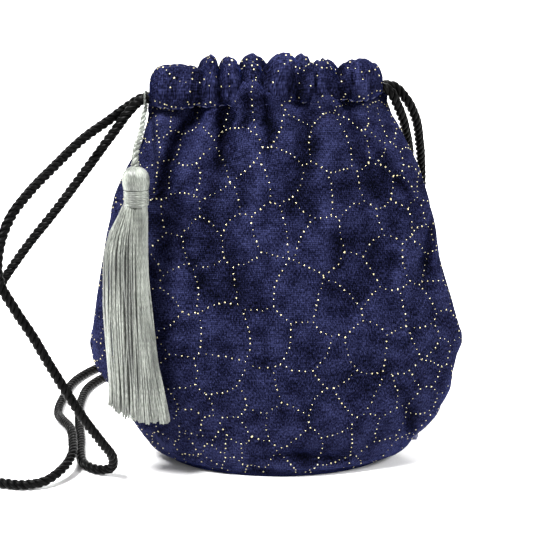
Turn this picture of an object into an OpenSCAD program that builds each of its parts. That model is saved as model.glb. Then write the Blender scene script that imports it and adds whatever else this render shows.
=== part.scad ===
// Drawstring gift pouch: a soft round-bottomed pouch with a gathered channel
// band, two twisted drawcords that carry it, and a tassel on the front cord.
// Millimetres. X runs to the viewer's right, the front faces -Y, the pouch
// stands on z = 0 with the origin at the middle of its base.

/* [Pouch] */
// Width of the pouch at its widest
bag_w = 200; // [160:5:260]
// Height of the pouch up to the foot of the channel band
bag_h = 196; // [160:1:250]
// Depth of the pouch from front to back
bag_d = 62; // [48:1:80]
// Thickness of the outer fabric with its pile
skin_t = 1.6; // [1.0:0.1:2.2]
// Thickness of the lining
lining_t = 1.0; // [0.5:0.1:1.4]

/* [Channel band] */
// Height of the gathered band that the cords run through
band_h = 25; // [20:1:32]
// Thickness of fabric on each side of the cord in the band
band_wall = 1.55; // [1.4:0.05:2.2]
// How far the front and back bands bow apart in the middle of the mouth
band_bow = 8.5; // [6:0.5:12]
// Width of the gathered mouth
mouth_w = 119; // [90:1:140]

/* [Cords] */
// Diameter of the twisted drawcords
cord_d = 5.5; // [4.5:0.1:6.6]
// Gap between the front and back band at the ends of the mouth
end_gap = 0.4; // [0.3:0.1:2]

/* [Tassel] */
// Diameter of the tassel's round head
head_d = 13.4; // [11:0.1:16]
// Height of the tassel's head down to its binding
head_h = 11.5; // [9:0.5:14]
// Height of the wrapped binding under the head
binding_h = 9; // [6:0.5:12]
// Length of the hanging threads under the binding
skirt_h = 115; // [80:1:125]
// Width of the hanging threads at their cut ends
skirt_w = 35; // [24:1:38]
// Length of the twisted hanger between the cord and the tassel's head
hanger_drop = 28.5; // [24:0.5:36]

/* [Hidden] */
$fn = 48;

// The gathered mouth sits a little left of the middle.
lean = -6.5;
// The side seams run a little behind the middle of the pouch.
seam_y = 7;
// Shape of a cross-section: 0.5 is an ellipse and 1 is a lens.
section_power = 0.65;
base_t = skin_t;
// The lining hangs a little inside the outer fabric.
lining_inset = skin_t + 0.5;
panel_columns = 24;
band_columns = 24;
ring_sides = 12;
cord_sides = 10;

// Rows of the pouch from its base up:
// share of the height, of the half width, of the half depth and of the lean.
// From the widest row up, the second number is the share of the way from the
// width of the mouth to the full width.
BODY_ROWS = [[0, 0.575, 0.90, 0], [0.03, 0.64, 0.93, 0], [0.07, 0.71, 0.95, 0],
    [0.12, 0.79, 0.97, 0], [0.20, 0.90, 0.99, 0], [0.35, 1.00, 1.00, 0], [0.50, 0.88, 0.97, 0.3],
    [0.62, 0.765, 0.92, 0.5], [0.75, 0.605, 0.81, 0.6], [0.84, 0.42, 0.71, 0.6],
    [0.92, 0.20, 0.62, 0.8], [1, 0, 0.55, 1]];
widest_row = 0.35;

// The band and its channel
band_t = cord_d + 2 * band_wall;
cord_gap = band_t + end_gap;
channel_x0 = lean - mouth_w / 2;
channel_x1 = lean + mouth_w / 2;
channel_hole_r = cord_d / 2 + 0.7;
cord_lift = 4.6;
cord_rise = 6;
stitch_count = 26;
stitch_l = 2.8;
stitch_d = 0.8;
join_l = 12;
join_t = 0.5;

// The tassel hangs from a loop around the front cord.
loop_x = channel_x0 - 2.2;
loop_r = 5;
loop_wire = 0.6;
eye_r = 1.4;
eye_wire = 0.5;
exit_z = bag_h + cord_lift;
loop_z = exit_z - (loop_r - loop_wire - cord_d / 2 - 0.15);
tassel_x = loop_x - 3.3;
tassel_y = -bag_d / 2 - 0.5;
head_top = loop_z - hanger_drop;
neck_d = head_d - 3.2;
hanger_lean = atan2(-tassel_y - cord_gap / 2, loop_z - head_top);
eye_centre = [loop_x, -cord_gap / 2 - loop_r * sin(hanger_lean), loop_z - loop_r * cos(hanger_lean)];
pin_d = 3;
pin_l = 4;
pin_gap = 0.35;
knot_r = 2.2;

exit_run = 2;

// Routes of the free cords, from the left end of the band round to the right
// end: x, y and the height over a cord that lies on the ground. A fourth
// number is the height, in cord diameters, at which it passes over the other.
BACK_STRAP_ROUTE = [[-71, 4.4, 197], [-78, 3.5, 193], [-88, 0, 186], [-100, -9, 178],
    [-112, -23, 167], [-123, -38, 156], [-131, -51, 145], [-135, -60, 132], [-135, -65, 118], [-129, -64, 104],
    [-121, -61, 88], [-114, -58, 72], [-107, -54, 56], [-100, -49, 40], [-92, -40, 22],
    [-88, -32, 10], [-90, -27, 2], [-98, -24, 0], [-106, -17, 0], [-110, -4, 0],
    [-113, 16, 0], [-118, 42, 0], [-122, 75, 0], [-120, 104, 0], [-106, 128, 0],
    [-78, 142, 0], [-40, 142, 0], [0, 134, 0], [34, 116, 0], [60, 92, 0],
    [75, 70, 2], [81, 56, 20], [82, 48, 55], [82, 43, 95], [81, 39, 130], [79.5, 33, 155],
    [76.5, 22, 172], [73, 13, 185], [67, 7, 196], [60, 5, 203]];
FRONT_STRAP_ROUTE = [[-70.5, -4.5, 196.8], [-77, -4.4, 191], [-84, -4, 182], [-104, 0, 156],
    [-119, 3, 137], [-134, 4, 119], [-148, 5, 100], [-163, 3, 76], [-177, -1, 50], [-188, -7, 26],
    [-194, -15, 9], [-192, -26, 0], [-182, -34, 0], [-166, -38, 0], [-149, -40, 0],
    [-134, -43, 0], [-123, -41, 0, 0.2], [-115, -33, 0, 0.8],
    [-112, -20, 0, 1.2], [-114, -4, 0, 1.3],
    [-118, 14, 0, 1.3], [-126, 34, 0, 0.8], [-133, 56, 0], [-134, 86, 0], [-131, 114, 0],
    [-116, 141, 0], [-80, 156, 0], [-38, 156, 0], [6, 147, 0], [44, 129, 0],
    [68, 106, 0], [76, 88, 6], [77, 74, 30], [76, 62, 72], [75, 52, 112], [74, 42, 140],
    [73, 31, 156], [69, 14, 174], [65.5, 5, 185], [61, -1, 195], [57, -4, 201.5]];

function sign_of(v) = v < 0 ? -1 : 1;

function row_half_width(row) =
    row[0] < widest_row ? row[1] * bag_w / 2 : mouth_w / 2 + row[1] * (bag_w - mouth_w) / 2;

// One point of the pouch's wall, at angle t round it from the right-hand edge
function wall_point(row, t, inset) =
    let (a = row_half_width(row) - 1.3 * inset)
    let (d = row[2] * bag_d / 2 - inset)
    let (s = sin(t))
    [lean * row[3] + a * cos(t), -sign_of(s) * d * pow(abs(s), 2 * section_power),
        base_t + row[0] * (bag_h - base_t)];

// The angle past the edge where the wall reaches the plane of the side seams
function seam_angle(row, inset) =
    asin(pow(seam_y / (row[2] * bag_d / 2 - inset), 1 / (2 * section_power)));

function front_wall(inset, z_shift) =
    [for (row = BODY_ROWS)
        let (s = seam_angle(row, inset))
        [for (j = [0 : panel_columns])
            wall_point(row, -s + (180 + 2 * s) * j / panel_columns, inset)
                + [0, 0, z_shift * (1 - row[0])]]];

function back_wall(inset, z_shift) =
    [for (row = BODY_ROWS)
        let (s = seam_angle(row, inset))
        [for (j = [0 : panel_columns])
            wall_point(row, 180 + s + (180 - 2 * s) * j / panel_columns, inset)
                + [0, 0, z_shift * (1 - row[0])]]];

// A curved sheet between an outer and an inner grid of points
module sheet(outer, inner) {
    rows = len(outer);
    cols = len(outer[0]);
    points = [for (grid = [outer, inner]) for (row = grid) for (p = row) p];
    function id(side, i, j) = (side * rows + i) * cols + j;
    outer_faces = [for (i = [0 : rows - 2]) for (j = [0 : cols - 2]) for (k = [0, 1])
        k == 0 ? [id(0, i, j), id(0, i, j + 1), id(0, i + 1, j + 1)]
               : [id(0, i, j), id(0, i + 1, j + 1), id(0, i + 1, j)]];
    inner_faces = [for (i = [0 : rows - 2]) for (j = [0 : cols - 2]) for (k = [0, 1])
        k == 0 ? [id(1, i, j), id(1, i + 1, j + 1), id(1, i, j + 1)]
               : [id(1, i, j), id(1, i + 1, j), id(1, i + 1, j + 1)]];
    bottom = [for (j = [0 : cols - 2]) [id(0, 0, j + 1), id(0, 0, j), id(1, 0, j), id(1, 0, j + 1)]];
    top = [for (j = [0 : cols - 2])
        [id(0, rows - 1, j), id(0, rows - 1, j + 1), id(1, rows - 1, j + 1), id(1, rows - 1, j)]];
    start = [for (i = [0 : rows - 2]) [id(0, i, 0), id(0, i + 1, 0), id(1, i + 1, 0), id(1, i, 0)]];
    end = [for (i = [0 : rows - 2])
        [id(0, i + 1, cols - 1), id(0, i, cols - 1), id(1, i, cols - 1), id(1, i + 1, cols - 1)]];
    polyhedron(points, concat(outer_faces, inner_faces, bottom, top, start, end));
}

// Triangles between successive rings of points, with outward faces when the
// rings turn right-handed about their direction of travel
function ring_sides_faces(count, n, first) =
    [for (i = [0 : count - 2]) for (j = [0 : n - 1]) for (k = [0, 1])
        let (a = first + i * n + j)
        let (b = first + i * n + (j + 1) % n)
        k == 0 ? [a, b + n, b] : [a, a + n, b + n]];

function reversed(faces) = [for (f = faces) [for (k = [len(f) - 1 : -1 : 0]) f[k]]];

// A solid swept through rings of points
module rod(rings) {
    n = len(rings[0]);
    count = len(rings);
    caps = [[for (j = [0 : n - 1]) j], [for (j = [n - 1 : -1 : 0]) (count - 1) * n + j]];
    polyhedron([for (ring = rings) for (p = ring) p], concat(ring_sides_faces(count, n, 0), caps));
}

// A hollow sleeve between an outer and an inner set of rings
module sleeve(outer, inner) {
    n = len(outer[0]);
    count = len(outer);
    shift = count * n;
    points = [for (rings = [outer, inner]) for (ring = rings) for (p = ring) p];
    first_end = [for (j = [0 : n - 1]) [j, (j + 1) % n, shift + (j + 1) % n, shift + j]];
    last = (count - 1) * n;
    last_end = [for (j = [0 : n - 1])
        [last + (j + 1) % n, last + j, shift + last + j, shift + last + (j + 1) % n]];
    polyhedron(points, concat(ring_sides_faces(count, n, 0),
        reversed(ring_sides_faces(count, n, shift)), first_end, last_end));
}

// Middle line of the band: side is -1 for the front and 1 for the back
function band_share(x) = (x - lean) / (mouth_w / 2);
function band_y(x, side) = side * (cord_gap / 2 + band_bow * (1 - pow(band_share(x), 2)));
function channel_z(x) = exit_z + cord_rise * (band_share(x) + 1) / 2;
function band_x(i) = channel_x0 + mouth_w * i / band_columns;
function clamp(v) = min(1, max(-1, v));

// Cross-section of the band: flat underneath with its corners taken off
function band_ring(x, side) =
    [for (j = [0 : ring_sides - 1])
        let (a = 360 * j / ring_sides)
        [x, band_y(x, side) + band_t / 2 * clamp(1.5 * cos(a)),
            bag_h + band_h / 2 * (1 + clamp(1.2 * sin(a)))]];

function channel_ring(x, side, r) =
    [for (j = [0 : ring_sides - 1])
        let (a = 360 * j / ring_sides)
        [x, band_y(x, side) + r * cos(a), channel_z(x) + r * sin(a)]];

// Rings of a free cord along its route, with the first and last one flat
// against the ends of the band
function unit(v) = v / norm(v);
function turned(v, along) = unit(v - (v * along) * along);
function exit_point(x, side, run) = [x + run, side * cord_gap / 2, channel_z(x)];
function route_point(p) =
    let (over = len(p) > 3 ? p[3] * cord_d : 0)
    [p[0] * bag_w / 200, p[1] * bag_d / 62, cord_d / 2 + 0.05 + p[2] * bag_h / 196 + over];
function strap_points(route, side) =
    concat([exit_point(channel_x0, side, 0), exit_point(channel_x0, side, -exit_run)],
        [for (p = route) route_point(p)],
        [exit_point(channel_x1, side, exit_run), exit_point(channel_x1, side, 0)]);
function route_direction(p, i) =
    i == 0 ? [-1, 0, 0] : i == len(p) - 1 ? [-1, 0, 0] : unit(unit(p[i + 1] - p[i]) + unit(p[i] - p[i - 1]));
function strap_rings(p) =
    let (directions = [for (i = [0 : len(p) - 1]) route_direction(p, i)])
    let (frames = [for (i = 0, up = [0, 0, 1]; i < len(p); i = i + 1,
        up = i < len(p) ? turned(up, directions[i]) : up) turned(up, directions[i])])
    [for (i = [0 : len(p) - 1])
        let (across = cross(directions[i], frames[i]))
        [for (j = [0 : cord_sides - 1])
            let (a = 360 * j / cord_sides)
            p[i] + cord_d / 2 * (cos(a) * frames[i] + sin(a) * across)]];

module front_panel() {
    color("midnightblue") sheet(front_wall(0, 0), front_wall(skin_t, 0));
}

module back_panel() {
    color("midnightblue") sheet(back_wall(0, 0), back_wall(skin_t, 0));
}

// Flat plate with the outline of the pouch's lowest row
module base_plate(inset, z0, t) {
    outline = [for (a = [0 : 5 : 355]) let (p = wall_point(BODY_ROWS[0], a, inset)) [p[0], p[1]]];
    translate([0, 0, z0]) linear_extrude(t) polygon(outline);
}

module base_panel() {
    color("midnightblue") base_plate(0, 0, base_t);
}

module base_lining() {
    color("lightsteelblue") base_plate(lining_inset, base_t, lining_t);
}

module front_lining() {
    color("lightsteelblue")
        sheet(front_wall(lining_inset, lining_t), front_wall(lining_inset + lining_t, lining_t));
}

module back_lining() {
    color("lightsteelblue")
        sheet(back_wall(lining_inset, lining_t), back_wall(lining_inset + lining_t, lining_t));
}

module band(side) {
    sleeve([for (i = [0 : band_columns]) band_ring(band_x(i), side)],
        [for (i = [0 : band_columns]) channel_ring(band_x(i), side, channel_hole_r)]);
}

module front_band() {
    color("midnightblue") band(-1);
}

module back_band() {
    color("midnightblue") band(1);
}

// A row of stitches half sunk into the foot of the band
module band_stitches(side) {
    for (i = [1 : stitch_count - 1]) {
        x = channel_x0 + mouth_w * i / stitch_count;
        turn = atan(-side * 2 * band_bow * band_share(x) / (mouth_w / 2));
        translate([x, band_y(x, side) + side * band_t / 2, bag_h + band_h / 4]) rotate([0, 0, turn])
            rotate([0, 90, 0]) cylinder(h = stitch_l, d = stitch_d, center = true, $fn = 16);
    }
}

module front_band_stitches() {
    color("navy") band_stitches(-1);
}

module back_band_stitches() {
    color("navy") band_stitches(1);
}

module channel_cord(side) {
    rod([for (i = [0 : band_columns]) channel_ring(band_x(i), side, cord_d / 2)]);
}

module front_channel_cord() {
    color("black") channel_cord(-1);
}

module back_channel_cord() {
    color("black") channel_cord(1);
}

// Thin whipping round the place where a cord's two ends meet
module cord_join(side) {
    middle_z = channel_z(lean);
    tilt = atan(cord_rise / mouth_w);
    translate([lean, band_y(lean, side), middle_z]) rotate([0, 90 - tilt, 0]) difference() {
        cylinder(h = join_l, r = cord_d / 2 + join_t - 0.1, center = true);
        cylinder(h = join_l + 1, r = cord_d / 2 + 0.1, center = true);
    }
}

module front_cord_join() {
    color("dimgray") cord_join(-1);
}

module back_cord_join() {
    color("dimgray") cord_join(1);
}

module front_strap_cord() {
    color("black") rod(strap_rings(strap_points(FRONT_STRAP_ROUTE, -1)));
}

module back_strap_cord() {
    color("black") rod(strap_rings(strap_points(BACK_STRAP_ROUTE, 1)));
}

module ring(r, wire) {
    rotate_extrude() translate([r, 0]) circle(r = wire);
}

// Thread loop around the front cord, free to turn about it
module tassel_loop() {
    color("silver") translate([loop_x, -cord_gap / 2, loop_z]) rotate([0, 90, 0])
        ring(loop_r, loop_wire);
}

// Twisted hanger: an eye through the loop, the slanting cord and a knotted
// end that turns inside the tassel's head
module tassel_hanger() {
    corner = [tassel_x, tassel_y, head_top + 2];
    run = corner - eye_centre;
    down = unit(run);
    start = eye_centre + eye_r * down;
    length = norm(corner - start);
    color("silver") {
        translate(eye_centre) rotate([90 - hanger_lean, 0, 0]) ring(eye_r, eye_wire);
        translate(start) rotate([0, acos(down[2]), atan2(down[1], down[0])])
            cylinder(h = length, r1 = 0.8, r2 = 1.7);
        translate(corner) sphere(r = knot_r);
        translate([tassel_x, tassel_y, head_top - pin_l]) cylinder(h = pin_l + 2, d = pin_d);
    }
}

module tassel_head() {
    color("silver") translate([tassel_x, tassel_y, 0]) difference() {
        union() {
            difference() {
                translate([0, 0, head_top - head_d / 2]) sphere(d = head_d);
                translate([0, 0, head_top - head_h - head_d]) cylinder(h = head_d, d = 2 * head_d);
            }
            translate([0, 0, head_top - head_h]) cylinder(h = head_h - head_d / 2, d = head_d);
            translate([0, 0, head_top - head_h - binding_h]) cylinder(h = binding_h, d = neck_d);
        }
        translate([0, 0, head_top - pin_l - pin_gap]) cylinder(h = head_d, d = pin_d + 2 * pin_gap);
        translate([0, 0, head_top + 2]) sphere(r = knot_r + pin_gap);
        translate([0, 0, head_top - head_h - binding_h - head_d]) cylinder(h = head_d, d = head_d);
    }
}

module tassel_binding() {
    color("silver") translate([tassel_x, tassel_y, head_top - head_h - binding_h]) difference() {
        cylinder(h = binding_h, d = head_d - 1);
        translate([0, 0, -1]) cylinder(h = binding_h + 2, d = neck_d);
    }
}

// Hanging threads as one flattened bundle, widest at the cut ends: share of
// the length, then half width and half depth as shares of the way from the
// round neck to the spread of the cut ends
SKIRT_ROWS = [[1, 1, 1], [0.6, 0.64, 1], [0.3, 0.52, 0.8], [0.1, 0.25, 0.55], [0, 0, 0]];
skirt_neck_r = neck_d / 2 + 0.7;
skirt_depth = 14.7;

module tassel_skirt() {
    top_z = head_top - head_h - binding_h;
    rings = [for (row = SKIRT_ROWS)
        [for (j = [0 : 23])
            let (a = 15 * j)
            let (w = skirt_neck_r + row[1] * (skirt_w / 2 - skirt_neck_r))
            let (d = skirt_neck_r + row[2] * (skirt_depth / 2 - skirt_neck_r))
            [tassel_x + w * cos(a), tassel_y + d * sin(a), top_z - row[0] * skirt_h]]];
    color("silver") rod(rings);
}

front_panel();
back_panel();
base_panel();
front_lining();
back_lining();
base_lining();
front_band();
back_band();
front_band_stitches();
back_band_stitches();
front_channel_cord();
back_channel_cord();
front_cord_join();
back_cord_join();
front_strap_cord();
back_strap_cord();
tassel_loop();
tassel_hanger();
tassel_head();
tassel_binding();
tassel_skirt();
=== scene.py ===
"""Looks of a drawstring gift pouch: a gathered velvet pouch with a web of gold dots,
two twisted black drawcords and a silver tassel."""
import math

import bpy
import numpy as np
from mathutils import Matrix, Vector, geometry


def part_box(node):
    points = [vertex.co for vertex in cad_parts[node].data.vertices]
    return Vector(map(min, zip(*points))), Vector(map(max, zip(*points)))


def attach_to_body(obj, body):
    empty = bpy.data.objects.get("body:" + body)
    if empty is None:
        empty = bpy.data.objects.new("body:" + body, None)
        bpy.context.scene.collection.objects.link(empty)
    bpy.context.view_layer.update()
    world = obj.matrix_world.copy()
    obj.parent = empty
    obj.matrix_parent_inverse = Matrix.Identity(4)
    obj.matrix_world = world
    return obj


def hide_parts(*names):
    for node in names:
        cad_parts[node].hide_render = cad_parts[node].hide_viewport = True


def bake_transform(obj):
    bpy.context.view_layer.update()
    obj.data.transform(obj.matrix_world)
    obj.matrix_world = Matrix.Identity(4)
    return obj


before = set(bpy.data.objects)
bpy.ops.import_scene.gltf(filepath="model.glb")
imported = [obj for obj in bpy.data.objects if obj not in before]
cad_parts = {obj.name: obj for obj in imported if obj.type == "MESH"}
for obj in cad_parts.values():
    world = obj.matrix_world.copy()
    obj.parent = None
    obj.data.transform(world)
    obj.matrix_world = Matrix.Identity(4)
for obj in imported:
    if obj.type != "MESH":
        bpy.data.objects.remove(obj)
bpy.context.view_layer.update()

MM = 0.001

# Sizes of the cords, as the model has them
CORD_D = 5.5 * MM
CORD_LAY = 11 * MM
BAND_BOW = 8.5 * MM
CORD_LIFT = 4.6 * MM
CORD_RISE = 6 * MM

# Height of the middle of a cord that lies on the ground
LYING_Z = CORD_D / 2 + 0.05 * MM

# Places of the band and its channel
BAND_LOW, BAND_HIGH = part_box("front_band")
CHANNEL_LOW, CHANNEL_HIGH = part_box("back_channel_cord")
MOUTH_X0 = BAND_LOW[0]
MOUTH_X1 = BAND_HIGH[0]
MOUTH_MID = (MOUTH_X0 + MOUTH_X1) / 2
MOUTH_HALF = (MOUTH_X1 - MOUTH_X0) / 2
FOOT_Z = BAND_LOW[2]
CORD_Y = CHANNEL_LOW[1] + CORD_D / 2

# Camera: an ordinary portrait lens, a little above the pouch
CAMERA_AIM = (-6.2 * MM, 0, 110 * MM)
CAMERA_DISTANCE = 620 * MM
CAMERA_RISE = math.radians(15)
CAMERA_LENS = 77.9

# Routes of the free cords in millimetres, as the model has them: x, y, the
# height over a cord that lies on the ground, and the passing height in
# cord diameters
BACK_STRAP_ROUTE = [
    (-71, 4.4, 197), (-78, 3.5, 193), (-88, 0, 186), (-100, -9, 178),
    (-112, -23, 167), (-123, -38, 156), (-131, -51, 145), (-135, -60, 132), (-135, -65, 118),
    (-129, -64, 104), (-121, -61, 88), (-114, -58, 72), (-107, -54, 56), (-100, -49, 40),
    (-92, -40, 22), (-88, -32, 10), (-90, -27, 2), (-98, -24, 0), (-106, -17, 0), (-110, -4, 0),
    (-113, 16, 0), (-118, 42, 0), (-122, 75, 0), (-120, 104, 0), (-106, 128, 0),
    (-78, 142, 0), (-40, 142, 0), (0, 134, 0), (34, 116, 0), (60, 92, 0),
    (75, 70, 2), (81, 56, 20), (82, 48, 55), (82, 43, 95), (81, 39, 130), (79.5, 33, 155),
    (76.5, 22, 172), (73, 13, 185), (67, 7, 196), (60, 5, 203)]
FRONT_STRAP_ROUTE = [
    (-70.5, -4.5, 196.8), (-77, -4.4, 191), (-84, -4, 182), (-104, 0, 156),
    (-119, 3, 137), (-134, 4, 119), (-148, 5, 100), (-163, 3, 76), (-177, -1, 50), (-188, -7, 26),
    (-194, -15, 9), (-192, -26, 0), (-182, -34, 0), (-166, -38, 0), (-149, -40, 0),
    (-134, -43, 0), (-123, -41, 0, 0.2), (-115, -33, 0, 0.8),
    (-112, -20, 0, 1.2), (-114, -4, 0, 1.3),
    (-118, 14, 0, 1.3), (-126, 34, 0, 0.8), (-133, 56, 0), (-134, 86, 0), (-131, 114, 0),
    (-116, 141, 0), (-80, 156, 0), (-38, 156, 0), (6, 147, 0), (44, 129, 0),
    (68, 106, 0), (76, 88, 6), (77, 74, 30), (76, 62, 72), (75, 52, 112), (74, 42, 140),
    (73, 31, 156), (69, 14, 174), (65.5, 5, 185), (61, -1, 195), (57, -4, 201.5)]

# Outline of the pouch from the front in millimetres: height, left and right edge
OUTLINE = [
    (0, -60, 60), (6, -69, 71), (13, -75, 77.5), (22, -82, 86), (38, -92, 95),
    (56, -102, 100), (72, -103.5, 101.5), (90, -101, 97), (112, -97, 90), (134, -92.5, 84),
    (150, -87, 78.5), (164, -80, 73), (178, -72, 65), (190, -68, 58), (203, -65, 53)]
# Half of the pouch's depth in millimetres: height and half depth
HALF_DEPTH = [(0, 27.5), (20, 29.5), (50, 31), (84, 31), (104, 30.2), (124, 28.5),
              (145, 25.5), (160, 23), (172, 20.5), (184, 18), (196, 15), (203, 13.5)]
SECTION_POWER = 1.3
SEAM_Y = 7 * MM

# Gathers of the band in millimetres: left end, right end, bulge, height of the top
FRONT_LOBES = [(-65, -39, 6, 217.5), (-39, -29, 4.5, 223.5), (-29, -17, 5, 222.5),
               (-17, -8, 4, 220), (-8, 10, 5.5, 224.5), (10, 31, 5.5, 220.5),
               (31, 52, 6, 221)]
BACK_LOBES = [(-65, -44, 5.5, 217), (-44, -31, 4.5, 221), (-31, -19, 4.5, 220.5),
              (-19, -6, 4.5, 222), (-6, 4, 4, 220), (4, 17, 4.5, 222), (17, 33, 5, 219.5),
              (33, 52, 5.5, 219)]
VALLEY_TOP = 214.5 * MM
# Creases that cross the band: place at its foot, place at its top and depth
FRONT_CREASES = [(-58, -50, 0.7), (-45, -43, 0.9), (-41, -33, 1.3), (-33, -37, 1.0), (-27, -22, 1.5),
                 (-20, -25, 1.0), (-14, -11, 1.2), (-9, -13, 1.0), (-3, -6, 1.0), (3, 7, 1.4),
                 (12, 5, 1.0), (14, 21, 1.4), (22, 17, 1.2), (28, 24, 1.0), (33, 40, 1.5),
                 (42, 36, 1.0), (46, 47, 1.4)]
BACK_CREASES = [(-55, -49, 1.0), (-42, -36, 1.2), (-35, -39, 0.9), (-26, -22, 1.3), (-14, -10, 1.0),
                (-1, -4, 1.2), (9, 12, 1.2), (20, 26, 1.3), (27, 22, 1.0), (38, 44, 1.2), (46, 42, 0.9)]
FOOT_RISE = 5 * MM

# Folds of the front in millimetres: the line that the fold follows, its half
# width and its height, which is negative for a valley
FRONT_FOLDS = [
    ([(4, 214), (26, 198), (48, 176), (66, 157)], 5, 6.0),
    ([(26, 208), (35, 191), (54, 169), (70, 146)], 3.6, -6.0),
    ([(-22, 208), (-32, 198), (-40, 176), (-46, 152)], 4.5, 5.0),
    ([(-36, 202), (-47, 187), (-55, 167), (-62, 148)], 4, -5.5),
    ([(-8, 210), (-4, 197), (5, 190), (16, 186)], 3, 2.6),
    ([(-4, 204), (3, 195), (10, 192)], 3, -3.2),
    ([(-26, 202), (-25, 186), (-28, 168)], 3, -3.6),
    ([(66, 46), (69, 32), (72, 16)], 4, -3.4),
    ([(-78, 60), (-72, 40), (-62, 22)], 6, -2.4),
    ([(-60, 205), (-72, 178), (-80, 150)], 4, -2.4),
    ([(44, 200), (60, 182), (72, 164)], 3.5, 3.0),
    ([(-20, 120), (4, 112), (30, 118)], 10, -1.2),
    ([(20, 60), (44, 48), (66, 56)], 9, -1.2)]
BACK_FOLDS = [
    ([(-20, 204), (-24, 180), (-30, 150)], 5, 2.6),
    ([(-36, 202), (-50, 178), (-62, 150)], 4.5, -2.8),
    ([(6, 204), (8, 178), (6, 146)], 5, -2.2),
    ([(30, 202), (44, 176), (58, 150)], 5, 2.8),
    ([(-66, 50), (-70, 32), (-66, 18)], 6, -2.0)]

PANEL_ROWS = 120
PANEL_COLUMNS = 150
FABRIC_T = 1.1 * MM
RIB_PITCH = 1.0 * MM
# Width of the band's cut round its fold, as declared.
BAND_ROUND = 62 * MM


# ---------------------------------------------------------------- helpers

def profile(points):
    """A smooth function through (place, value) points."""
    xs, ys = np.array(points, float).T
    slopes = np.gradient(ys, xs)

    def value(x):
        i = np.clip(np.searchsorted(xs, x) - 1, 0, len(xs) - 2)
        step = xs[i + 1] - xs[i]
        t = np.clip((x - xs[i]) / step, 0, 1)
        low = (1 + 2 * t) * (1 - t) ** 2 * ys[i] + t * (1 - t) ** 2 * step * slopes[i]
        high = t * t * (3 - 2 * t) * ys[i + 1] - t * t * (1 - t) * step * slopes[i + 1]
        return low + high

    return value


def smoothstep(low, high, x):
    t = np.clip((x - low) / (high - low), 0, 1)
    return t * t * (3 - 2 * t)


def lengths_along(line):
    """Running length of a line at each of its points."""
    return np.concatenate([[0], np.cumsum(np.linalg.norm(np.diff(line, axis=0), axis=1))])


def points_at(places, length, line):
    """Points of a line at places along it."""
    return np.stack([np.interp(places, length, line[:, k]) for k in range(3)], axis=1)


def neighbour_mean(grid):
    """Mean of the four neighbours of each point of a grid."""
    padded = np.pad(grid, ((1, 1), (1, 1), (0, 0)), mode="edge")
    return (padded[:-2, 1:-1] + padded[2:, 1:-1] + padded[1:-1, :-2] + padded[1:-1, 2:]) / 4


def curve_through(points, spacing):
    """Evenly spaced points on a smooth curve through the given ones."""
    points = np.array(points, float)
    along = lengths_along(points)
    fine = np.linspace(0, along[-1], 12 * len(points))
    curve = np.stack([profile(list(zip(along, points[:, k])))(fine) for k in range(3)], axis=1)
    length = lengths_along(curve)
    even = np.linspace(0, length[-1], max(3, round(length[-1] / spacing) + 1))
    return points_at(even, length, curve)


def frames_along(line):
    """Two unit vectors across a line at each point, turning as little as they can."""
    tangents = np.gradient(line, axis=0)
    tangents /= np.linalg.norm(tangents, axis=1)[:, None]
    first = np.cross(tangents[0], [0.3, 0.2, 0.93])
    first /= np.linalg.norm(first)
    sides = [first]
    for tangent in tangents[1:]:
        side = sides[-1] - tangent * np.dot(sides[-1], tangent)
        sides.append(side / np.linalg.norm(side))
    sides = np.array(sides)
    return sides, np.cross(tangents, sides)


class Build:
    """Vertices, faces and corner coordinates of one mesh, gathered piece by piece."""

    def __init__(self):
        self.points = []
        self.faces = []
        self.corners = []
        self.count = 0

    def grid(self, points, cut, closed=False):
        """A grid of rows of points, each row a loop where closed."""
        rows, columns = points.shape[:2]
        start = self.count
        self.points.append(points.reshape(-1, 3))
        self.count += rows * columns
        steps = columns if closed else columns - 1
        for i in range(rows - 1):
            for j in range(steps):
                k = (j + 1) % columns
                self.faces.append([start + i * columns + j, start + i * columns + k,
                                   start + (i + 1) * columns + k, start + (i + 1) * columns + j])
                wrap = cut[i, j] + (cut[i, j] - cut[i, j - 1]) if k == 0 else cut[i, k]
                rise = cut[i + 1, j] - cut[i, j]
                self.corners += [cut[i, j], wrap, wrap + rise, cut[i + 1, j]]

    def tube(self, line, radius, sides, tag=0.0):
        """A round tube along a line, closed at both ends."""
        across, up = frames_along(line)
        radius = np.broadcast_to(radius, len(line))
        angles = np.arange(sides) * 2 * math.pi / sides
        rings = (line[:, None] + radius[:, None, None] * (
            np.cos(angles)[None, :, None] * across[:, None] + np.sin(angles)[None, :, None] * up[:, None]))
        length = lengths_along(line)
        cut = np.stack(np.meshgrid(angles / (2 * math.pi) + tag, length, indexing="xy"), axis=-1)
        start = self.count
        self.grid(rings, cut, closed=True)
        last = start + (len(line) - 1) * sides
        self.faces.append([start + k for k in range(sides - 1, -1, -1)])
        self.faces.append([last + k for k in range(sides)])
        self.corners += [(tag, 0.0)] * sides + [(tag, length[-1])] * sides

    def finish(self, name, material, fold_shade=None):
        mesh = bpy.data.meshes.new(name)
        mesh.from_pydata(np.concatenate(self.points).tolist(), [], self.faces)
        # The optional per-point values become painted shade in creases and painted highlight on ridges in
        # the velvet's colour
        if fold_shade is not None:
            mesh.attributes.new("fold_shade", "FLOAT", "POINT").data.foreach_set("value", fold_shade.ravel())
        layer = mesh.uv_layers.new(name="cut")
        layer.data.foreach_set("uv", np.array(self.corners, "f").ravel())
        mesh.polygons.foreach_set("use_smooth", [True] * len(mesh.polygons))
        mesh.materials.append(material)
        mesh.validate()
        mesh.update()
        piece = bpy.data.objects.new(name, mesh)
        bpy.context.collection.objects.link(piece)
        return piece


def apply_modifiers(piece):
    graph = bpy.context.evaluated_depsgraph_get()
    graph.update()
    mesh = bpy.data.meshes.new_from_object(piece.evaluated_get(graph))
    piece.modifiers.clear()
    piece.data = mesh


def attach(piece, body, node):
    """The piece moves with a body and shows in place of a node."""
    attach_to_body(piece, body)
    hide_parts(node)


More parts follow.
